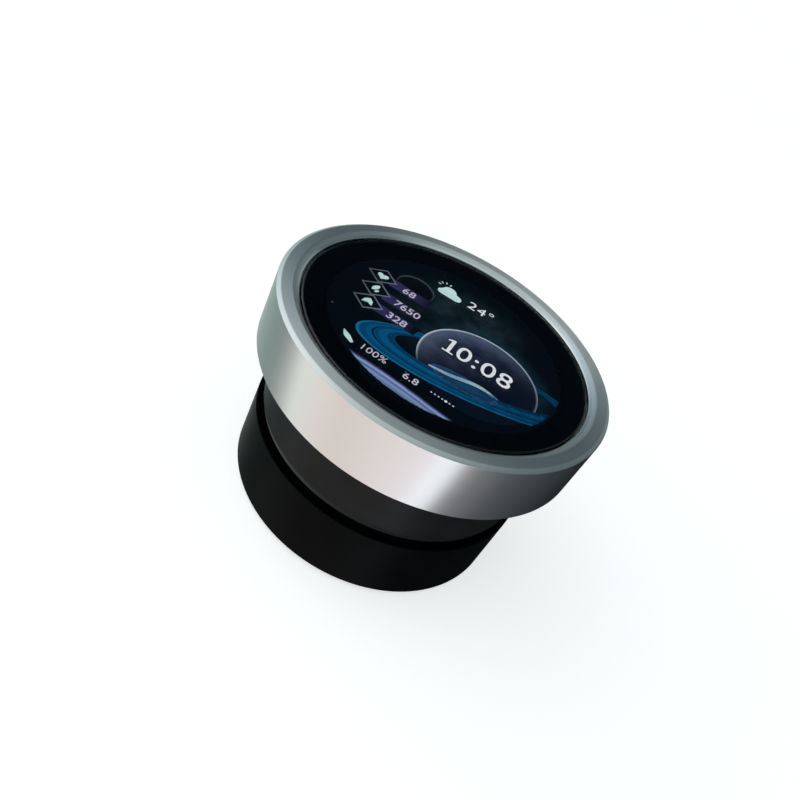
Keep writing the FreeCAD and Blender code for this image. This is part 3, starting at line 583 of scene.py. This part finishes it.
# The planet's band lies between two ellipses: centre, half width and half height. BANDS are its shares.
BAND_INNER = (9.3, -8.0, 18.9, 5.4)
BAND_OUTER = (8.4, -9.75, 26.2, 8.3)
BAND_TILT = math.radians(11.6)
BANDS = (
    (0.0, 0.2, (0.0008, 0.04, 0.11)),
    (0.2, 0.42, (0.0015, 0.085, 0.21)),
    (0.42, 0.55, (0.001, 0.055, 0.145)),
    (0.55, 0.6, (0.0003, 0.012, 0.035)),
    (0.6, 0.74, (0.0015, 0.08, 0.2)),
    (0.74, 0.92, (0.001, 0.058, 0.15)),
    (0.92, 1.0, (0.01, 0.13, 0.27)),
)


def sky_finish():
    """Deep space: a teal haze towards the middle and scattered stars."""
    made, t = new_material("screen_sky")
    place = t.place()
    x, y, _ = t.split(place)
    haze = t.range(distance_from(4.0, 12.0, 30.0, 0.9)(t, x, y), 0.15, 1.0, 1.0, 0.0)
    cloud = t.noise(place, 0.09, 6.0, 0.62)
    fade = t.range(distance_from(0.0, 0.0, 1000.0)(t, x, y), 0.017, 0.0262, 1.0, 0.12)
    level = t.math("MULTIPLY", t.math("MULTIPLY", haze, t.range(cloud, 0.3, 0.7)), fade, True)
    haze_stops = [
        (0.0, (0.0006, 0.0022, 0.0042)),
        (0.5, (0.004, 0.0095, 0.014)),
        (1.0, (0.012, 0.024, 0.032)),
    ]
    colour = t.ramp(level, haze_stops)
    dots = t.node("ShaderNodeTexVoronoi", None, Vector=place, Scale=0.33)
    star = t.range(dots.outputs["Distance"], 0.035, 0.085, 1.0, 0.0)
    lit = t.math("MULTIPLY", star, t.range(t.split(dots.outputs["Color"])[0], 0.7, 1.0, 0.0, 0.25))
    colour = t.mix(lit, colour, (0.55, 0.62, 0.7), "ADD")
    planet_x, planet_y, radius = PLANET
    reach = 40.0
    from_planet = distance_from(planet_x * SWELL + SHIFT_X, planet_y * SWELL + SHIFT_Y, reach)(t, x, y)
    halo = t.range(from_planet, radius / reach, radius / reach + 0.12, 1.0, 0.0)
    halo = t.math("MULTIPLY", halo, t.range(cloud, 0.3, 0.7, 0.3, 1.0))
    above = t.range(y, planet_y - 4.0, planet_y + 12.0)
    colour = t.mix(t.math("MULTIPLY", halo, above), colour, (0.006, 0.027, 0.045), "ADD")
    t.finish(light_only(t, colour))
    return made


def disc(cx, cy, radius):
    """The points of a disc, for sheet_of."""

    def points(u, v):
        a = 2 * math.pi * v
        return cx + radius * u * math.cos(a), cy + radius * u * math.sin(a)

    return points


def band_points(start_share, end_share, start, end):
    """Part of the planet's band. Share 0 is its inner ellipse, and 1 its outer one."""

    def points(u, v):
        share = start_share + (end_share - start_share) * u
        cx, cy, a, b = (low + (high - low) * share for low, high in zip(BAND_INNER, BAND_OUTER))
        angle = start + (end - start) * v
        return turned(cx, cy, a * math.cos(angle), b * math.sin(angle), BAND_TILT)

    return points


def planet_finish():
    """A slate planet with mottled ground and a pale limb that is brightest at the upper left."""
    made, t = new_material("planet")
    cx, cy, radius = PLANET
    place = t.place()
    x, y, _ = t.split(place)
    rim = distance_from(cx, cy, radius)(t, x, y)
    side = along(cx + 12, cy - 9, cx - 9, cy + 12)(t, x, y)
    ground = t.noise(place, 0.16, 7.0, 0.62)
    height = along(cx, cy - 9.5, cx, cy + 1.0)(t, x, y)
    shade = t.math("MULTIPLY", t.range(side, 0.25, 1.0, 0.02, 1.0), t.range(height, 0.0, 1.0))
    body = t.ramp(t.range(ground, 0.3, 0.7), [(0.0, (0.006, 0.012, 0.028)), (1.0, (0.04, 0.052, 0.1))])
    body = t.mix(shade, (0.002, 0.005, 0.012), body)
    soft = t.math("MULTIPLY", t.range(rim, 0.6, 1.0, 0.0, 0.42), shade)
    body = t.mix(soft, body, (0.14, 0.19, 0.3))
    limb_light = t.math("MULTIPLY", t.range(side, 0.1, 0.8, 0.2, 0.9), t.range(height, 0.1, 1.0))
    limb = t.math("MULTIPLY", t.range(rim, 0.955, 0.995), limb_light)
    colour = t.mix(limb, body, (0.5, 0.6, 0.7))
    t.finish(light_only(t, colour))
    return made


sky = sheet_of("screen_sky", disc(0, 0, 28.0), 12, 128, *LAYER["sky"], sky_finish(), True)
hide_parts("optical_adhesive")
moon_stops = [
    (0.0, (0.001, 0.002, 0.003)),
    (0.85, (0.002, 0.004, 0.006)),
    (0.94, (0.05, 0.06, 0.07)),
    (1.0, (0.03, 0.04, 0.05)),
]
moon = glow("moon", distance_from(MOON[0], MOON[1] - 0.5, MOON[2] + 0.35), moon_stops, texture=0.03)
sheet_of("moon_disc", disc(*MOON), 6, 64, *LAYER["far"], moon, True, PICTURE)
for number, (start, end, tint) in enumerate(BANDS):
    dim = tuple(c * 0.55 for c in tint)
    stops = [(0.0, tint), (0.35, tint), (1.0, dim)]
    blue = glow(f"band_{number}", along(-16, -12, 27, -6), stops, texture=0.25)
    behind = band_points(start, end, 0.0, math.pi)
    before = band_points(start, end, math.pi, 2 * math.pi)
    sheet_of(f"band_behind_{number}", behind, 2, 120, *LAYER["band_back"], blue, place=PICTURE)
    sheet_of(f"band_in_front_{number}", before, 2, 160, *LAYER["band"], blue, place=PICTURE)
sheet_of("planet_disc", disc(*PLANET), 12, 128, *LAYER["planet"], planet_finish(), True, PICTURE)


def streak_points(u, v):
    """A lens-shaped gleam on the band, wider in the middle."""
    x = -0.4 + 16.0 * v
    y = -14.2 + 2.5 * math.sin(v * math.pi * 0.6) + 0.35 * math.sin(v * math.pi * 2.4 + 2.4)
    return x, y + (u - 0.5) * 1.15 * math.sin(math.pi * min(1.0, v * 0.93 + 0.05)) ** 0.6


gleam_stops = [
    (0.0, (0.45, 0.45, 0.62)),
    (0.4, (0.2, 0.36, 0.52)),
    (0.75, (0.42, 0.6, 0.66)),
    (1.0, (0.05, 0.2, 0.32)),
]
gleam = glow("gleam", along(-0.75, -13, 15.5, -11), gleam_stops, 0.9, 0.12, 1.2)
sea_stops = [(0.0, (0.01, 0.05, 0.12)), (0.7, (0.006, 0.035, 0.09)), (1.0, (0.02, 0.08, 0.17))]
sea = glow("sea", distance_from(7.9, -13.6, 8.4, 3.2), sea_stops, 1.0, 0.2, 0.7)
outline_plate("sea_lens", [circle(7.9, -13.5, 8.0, 64, 0.3)], *LAYER["near"], sea)
sheet_of("gleam_strip", streak_points, 4, 60, *LAYER["bars"], gleam, place=PICTURE)
arc_stops = [
    (0.0, (0.04, 0.07, 0.16)),
    (0.35, (0.11, 0.18, 0.34)),
    (0.55, (0.2, 0.3, 0.52)),
    (0.66, (0.07, 0.11, 0.24)),
    (0.8, (0.28, 0.4, 0.72)),
    (0.87, (0.1, 0.13, 0.3)),
    (0.94, (0.03, 0.03, 0.08)),
    (1.0, (0.004, 0.005, 0.012)),
]


def horizon_points(u, v):
    """The lit band along the edge of the world in front."""
    cx, cy, radius = HORIZON
    a = math.radians(72 + 16 * v)
    r = radius - HORIZON_DEPTH * (1 - u)
    return cx + r * math.cos(a), cy + r * math.sin(a)


def below_horizon(t, x, y):
    """A field that is 1 on the horizon and 0 at HORIZON_DEPTH below it."""
    cx, cy, radius = HORIZON
    share = t.math("MULTIPLY", distance_from(cx, cy, 1000.0)(t, x, y), 1000.0 / HORIZON_DEPTH)
    return t.math("SUBTRACT", share, radius / HORIZON_DEPTH - 1, True)


arc = glow("horizon", below_horizon, arc_stops, 1.0, 0.03, 0.15)
sheet_of("horizon_arc", horizon_points, 24, 240, *LAYER["far"], arc, place=PICTURE)

# Three read-outs on the left: a diamond frame with a mark, a dim bar, and a number.
WHITE = glow("figure_light", along(0, -28, 0, 28), [(0.0, (0.78, 0.8, 0.86)), (1.0, (0.86, 0.9, 0.94))])
PALE = glow("figure_pale", along(-25, 0, 10, 0), [(0.0, (0.5, 0.5, 0.62)), (1.0, (0.62, 0.6, 0.74))])
CYAN = glow("mark_cyan", along(0, -10, 0, 24), [(0.0, (0.5, 0.74, 0.72)), (1.0, (0.62, 0.86, 0.88))])
# The frames and what is inside them get lighter from left to right.
DIAMOND = along(-24, 0, -15, 0)
FRAME = glow("frame_grey", DIAMOND, [(0.0, (0.07, 0.085, 0.095)), (1.0, (0.14, 0.18, 0.26))])
INSIDE = glow("frame_inside", DIAMOND, [(0.0, (0.001, 0.002, 0.002)), (1.0, (0.002, 0.004, 0.005))])
bar_stops = [(0.0, (0.034, 0.032, 0.10)), (0.7, (0.02, 0.018, 0.06)), (1.0, (0.002, 0.004, 0.009))]
BAR = glow("bar_purple", along(-17, 0, -7, 0), bar_stops)


def diamond(cx, cy, width, height):
    """A square on its corner, stretched to a width and a height."""
    return [(cx - width / 2, cy), (cx, cy - height / 2), (cx + width / 2, cy), (cx, cy + height / 2)]


def heart(cx, cy, size):
    """The usual heart curve, which is 32 units wide, brought to the size."""
    made = []
    for i in range(48):
        a = 2 * math.pi * i / 48
        x = 16 * math.sin(a) ** 3
        y = 13 * math.cos(a) - 5 * math.cos(2 * a) - 2 * math.cos(3 * a) - math.cos(4 * a)
        made.append((cx + x * size / 32, cy + y * size / 32))
    return made


def leaf(cx, cy, size, turn):
    """A pointed oval."""
    made = []
    for i in range(32):
        a = 2 * math.pi * i / 32
        x, y = size * math.cos(a), size * 0.45 * math.sin(a) * (0.5 + 0.5 * abs(math.sin(a)))
        made.append(turned(cx, cy, x, y, turn))
    return made


# Each number, the centre of its diamond and the centre of its figures.
READOUTS = (
    ("68", -20.1, 6.85, -12.9, 6.45),
    ("7650", -19.3, 0.8, -10.9, -0.1),
    ("328", -18.7, -5.2, -11.3, -5.65),
)
for row, (text, ix, iy, tx, ty) in enumerate(READOUTS):
    bar = tilted([(-5.4, -1.7), (4.6, -1.7), (5.2, 1.7), (-5.4, 1.7)], ix + 7.6, ty)
    outline_plate(f"readout_bar_{row}", [bar], *LAYER["near"], BAR)
    outline_plate(f"readout_inside_{row}", [diamond(ix, iy, 6.6, 5.8)], *LAYER["bars"], INSIDE)
    rims = [diamond(ix, iy, 7.6, 6.6), diamond(ix, iy, 6.5, 5.6)]
    outline_plate(f"readout_frame_{row}", rims, *LAYER["figures"], FRAME)
    figures(f"readout_number_{row}", text, tx, ty, 2.4, PALE, 0.03)
outline_plate("mark_heart", [heart(-20.1, 6.85, 2.8)], *LAYER["figures"], CYAN)
outline_plate("mark_step", [leaf(-19.5, 1.2, 1.4, 1.2), leaf(-18.8, 0.0, 0.7, 1.0)], *LAYER["figures"], CYAN)
flame = [(-20.0, -6.2), (-18.7, -5.6), (-17.5, -6.2), (-17.7, -4.7), (-18.7, -3.7), (-19.7, -4.7)]
outline_plate("mark_flame", [flame], *LAYER["figures"], CYAN)

# Weather, clock and the bottom row.
cloud_arcs = ((-3.5, 15.3, 1.3, -90, 80), (-5.7, 16.7, 1.75, 5, 165), (-7.3, 15.2, 1.15, 120, 270))
cloud_loop = []
for cx, cy, radius, start, end in cloud_arcs:
    for i in range(15):
        a = math.radians(start + (end - start) * i / 14)
        cloud_loop.append((cx + radius * math.cos(a), cy + radius * math.sin(a)))
outline_plate("weather_cloud", [cloud_loop], *LAYER["figures"], CYAN)
sun_x, sun_y = -7.0, 17.6
sun_ray = [(1.5, -0.17), (2.3, -0.1), (2.3, 0.1), (1.5, 0.17)]
for ray in range(4):
    a = math.radians(70 + 35 * ray)
    loop = [turned(sun_x, sun_y, x, y, a) for x, y in sun_ray]
    outline_plate(f"weather_ray_{ray}", [loop], *LAYER["figures"], CYAN)
figures("temperature", "24°", 2.9, 16.3, 3.4, WHITE, 0.0, 1.1)
one_foot = [(-0.42, -2.3), (-1.35, -2.3), (-1.35, -2.75), (1.35, -2.75), (1.35, -2.3), (0.42, -2.3)]
one_top = [(0.42, 2.75), (-0.1, 2.75), (-1.3, 2.05), (-1.3, 1.6), (-0.42, 2.0)]
outline_plate("clock_one", [tilted(one_foot + one_top, 1.5, -3.6)], *LAYER["figures"], WHITE)
figures("clock", "0:08", 9.96, -4.07, 5.3, WHITE, 0.02, 1.1)
figures("charge", "100%", -10.4, -20.5, 2.0, PALE, 0.0, 1.05)
figures("date", "6.8", -1.7, -21.4, 2.0, PALE, 0.01, 1.05)
for day in range(7):
    x, y = turned(5.6, -21.7, 0.85 * (day - 3), 0, TILT)
    radius, finish = (0.34, WHITE) if day == 4 else (0.2, PALE)
    outline_plate(f"week_dot_{day}", [circle(x, y, radius, 24)], *LAYER["figures"], finish)
charge = [(-18.5, -18.4), (-16.6, -19.3), (-15.2, -20.8), (-15.6, -21.4), (-17.5, -20.4), (-18.0, -19.8)]
outline_plate("charge_mark", [charge], *LAYER["figures"], CYAN)


# ---------------------------------------------------------------- springs and ribbon

spring_low, spring_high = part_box("return_springs")
ribbon_low, ribbon_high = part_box("display_ribbon")
# The springs' bolt circle, and their wire radius, coil radius and turns.
SPRING_CIRCLE = 24.5
SPRING_SIZES = (0.22, 2.25, 3.5)


def coil(name, x, y, z0, z1, wire, radius, turns):
    """A spring with a round wire."""
    around, steps = 12, 168
    work = bmesh.new()
    rings = []
    for i in range(steps + 1):
        s = i / steps
        a = 2 * math.pi * turns * s
        out = Vector((math.cos(a), math.sin(a), 0))
        centre = Vector((x, y, z0 + wire + (z1 - z0 - 2 * wire) * s)) + out * radius
        rings.append(
            [
                work.verts.new((centre + (out * math.cos(b) + Vector((0, 0, 1)) * math.sin(b)) * wire) * MM)
                for b in (2 * math.pi * k / around for k in range(around))
            ]
        )
    for first, second in zip(rings, rings[1:]):
        for k in range(around):
            work.faces.new((first[k], first[(k + 1) % around], second[(k + 1) % around], second[k]))
    work.faces.new(rings[0])
    work.faces.new(rings[-1])
    bmesh.ops.recalc_face_normals(work, faces=work.faces)
    mesh = bpy.data.meshes.new(name)
    work.to_mesh(mesh)
    work.free()
    return link(name, mesh, FINISH["spring_steel"], "base")


z0, z1 = spring_low.z / MM, spring_high.z / MM
springs = []
for number in range(3):
    a = math.radians(90 + 120 * number)
    x, y = SPRING_CIRCLE * math.cos(a), SPRING_CIRCLE * math.sin(a)
    springs.append(coil(f"spring_coil_{number}", x, y, z0, z1, *SPRING_SIZES))
    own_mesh(springs[-1])
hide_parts("return_springs")

work = bmesh.new()
rows = 40
y0, y1 = ribbon_low.y, ribbon_high.y
x0, x1 = ribbon_low.x, ribbon_high.x
levels = []
for i in range(rows + 1):
    z = ribbon_low.z + (ribbon_high.z - ribbon_low.z) * i / rows
    levels.append([work.verts.new(p) for p in ((x0, y0, z), (x1, y0, z), (x1, y1, z), (x0, y1, z))])
for first, second in zip(levels, levels[1:]):
    for k in range(4):
        work.faces.new((first[k], first[(k + 1) % 4], second[(k + 1) % 4], second[k]))
work.faces.new(levels[0])
work.faces.new(levels[-1])
bmesh.ops.recalc_face_normals(work, faces=work.faces)
ribbon_mesh = bpy.data.meshes.new("ribbon_strip")
work.to_mesh(ribbon_mesh)
work.free()
ribbon = link("ribbon_strip", ribbon_mesh, FINISH["flexible_circuit"], "base")
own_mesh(ribbon)
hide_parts("display_ribbon")


# ---------------------------------------------------------------- floor, light and camera


def make_floor():
    """A plain pale floor a hair under the foot, which gives a little light so that it stays pale."""
    mesh = bpy.data.meshes.new("floor")
    reach = 3.0
    corners = [(x * reach, y * reach, -0.0001) for x, y in ((-1, -1), (1, -1), (1, 1), (-1, 1))]
    mesh.from_pydata(corners, [], [(0, 1, 2, 3)])
    made = bpy.data.objects.new("floor", mesh)
    bpy.context.scene.collection.objects.link(made)
    material, t = new_material("floor_paper")
    tint = t.mix(t.noise(t.place(), 0.004), (0.86, 0.86, 0.86), (0.9, 0.9, 0.9))
    lit = dict(Emission_Color=tint, Emission_Strength=0.75)
    shader = t.node("ShaderNodeBsdfPrincipled", None, Base_Color=tint, Roughness=0.9, **lit)
    t.finish(shader.outputs[0])
    mesh.materials.append(material)
    made.visible_glossy = False


# Light round the object by compass direction, in degrees from +X: a low ring near the table and a high one.
LOW_RING = [
    (-180, (0.31, 0.35, 0.34)), (-170, (0.5, 0.52, 0.5)), (-160, (0.82, 0.85, 0.8)),
    (-135, (0.83, 0.76, 0.7)), (-120, (0.78, 0.7, 0.64)), (-92, (0.84, 0.77, 0.72)),
    (-64, (0.92, 0.86, 0.88)), (-54, (1.05, 1.06, 1.08)), (-46, (1.0, 1.02, 1.05)),
    (-38, (0.36, 0.35, 0.36)), (-30, (0.2, 0.2, 0.21)), (-8, (0.085, 0.09, 0.1)),
    (18, (0.045, 0.054, 0.06)), (44, (0.024, 0.028, 0.03)), (60, (0.014, 0.018, 0.02)),
    (90, (0.05, 0.06, 0.06)), (112, (0.5, 0.58, 0.56)), (128, (0.34, 0.43, 0.4)),
    (157, (0.24, 0.31, 0.29)), (172, (0.25, 0.3, 0.28)), (180, (0.31, 0.35, 0.34)),
]
HIGH_RING = [
    (-180, (1.1, 1.12, 1.1)), (-150, (0.85, 0.9, 0.9)), (-120, (0.5, 0.56, 0.58)),
    (-90, (0.3, 0.36, 0.38)), (-60, (0.22, 0.28, 0.3)), (-30, (0.15, 0.19, 0.21)),
    (0, (0.11, 0.15, 0.17)), (36, (0.09, 0.12, 0.13)), (58, (0.13, 0.17, 0.19)),
    (71, (0.06, 0.085, 0.095)), (98, (0.06, 0.09, 0.1)), (112, (0.15, 0.22, 0.24)),
    (125, (0.33, 0.43, 0.48)), (137, (0.55, 0.68, 0.74)), (153, (0.82, 0.96, 0.95)),
    (180, (1.1, 1.12, 1.1)),
]
ZENITH = (0.48, 0.56, 0.54)
# Azimuth and elevation of the dark flag that the glass mirrors, and of a soft light behind the object.
GLASS_FLAG = (91.5, 32.0)
BACK_LIGHT = (68.0, 9.0)


def make_world():
    """A studio painted by direction, with a dark flag where the glass would mirror it to the camera."""
    world = bpy.data.worlds.new("studio")
    world.use_nodes = True
    bpy.context.scene.world = world
    t = Tree(world.node_tree)
    way = t.node("ShaderNodeTexCoord").outputs["Generated"]
    x, y, z = t.split(way)
    turn = t.math("ADD", t.math("DIVIDE", t.math("ARCTAN2", y, x), 2 * math.pi), 0.5)
    low_light = t.ramp(turn, [(a / 360 + 0.5, colour) for a, colour in LOW_RING])
    high_light = t.ramp(turn, [(a / 360 + 0.5, colour) for a, colour in HIGH_RING])
    sides = t.mix(t.range(z, -0.12, 0.3), low_light, high_light)
    light = t.mix(t.range(z, 0.82, 0.985), sides, ZENITH)

    def toward(azimuth, elevation, outer, inner):
        """1 within the inner angle of a direction, 0 beyond the outer angle."""
        a, e = math.radians(azimuth), math.radians(elevation)
        aim = (math.cos(e) * math.cos(a), math.cos(e) * math.sin(a), math.sin(e))
        facing = t.node("ShaderNodeVectorMath", {"operation": "DOT_PRODUCT"}, i0=way, i1=aim).outputs["Value"]
        return t.range(facing, math.cos(math.radians(outer)), math.cos(math.radians(inner)))

    light = t.mix(toward(*BACK_LIGHT, 21, 9), light, (0.26, 0.33, 0.33))
    light = t.mix(toward(*GLASS_FLAG, 19, 14.5), light, (0.006, 0.011, 0.018))
    seen = t.node("ShaderNodeLightPath").outputs["Is Camera Ray"]
    light = t.mix(seen, light, (1.0, 1.0, 1.0))
    background = t.node("ShaderNodeBackground", None, Color=light, Strength=1.0)
    t.node("ShaderNodeOutputWorld", None, Surface=background.outputs[0])


def make_camera():
    """A camera in front of the object and above it, tilted to one side: its axes, place and lens."""
    camera = bpy.data.objects.new("camera", bpy.data.cameras.new("camera"))
    bpy.context.scene.collection.objects.link(camera)
    right = Vector((0.85411, 0.34323, 0.39075))
    up = Vector((-0.51865, 0.50621, 0.68902))
    forward = Vector((-0.03869, 0.79117, -0.61038))
    turn = Matrix((right, up, -forward)).transposed().to_4x4()
    camera.matrix_world = Matrix.Translation(Vector((4.26, -139.29, 134.64)) * MM) @ turn
    camera.data.lens = 33.28
    camera.data.sensor_width = 36.0
    camera.data.clip_start = 0.005
    camera.data.clip_end = 50.0
    bpy.context.scene.camera = camera


make_floor()
make_world()
make_camera()
bpy.context.scene.view_settings.view_transform = "Standard"
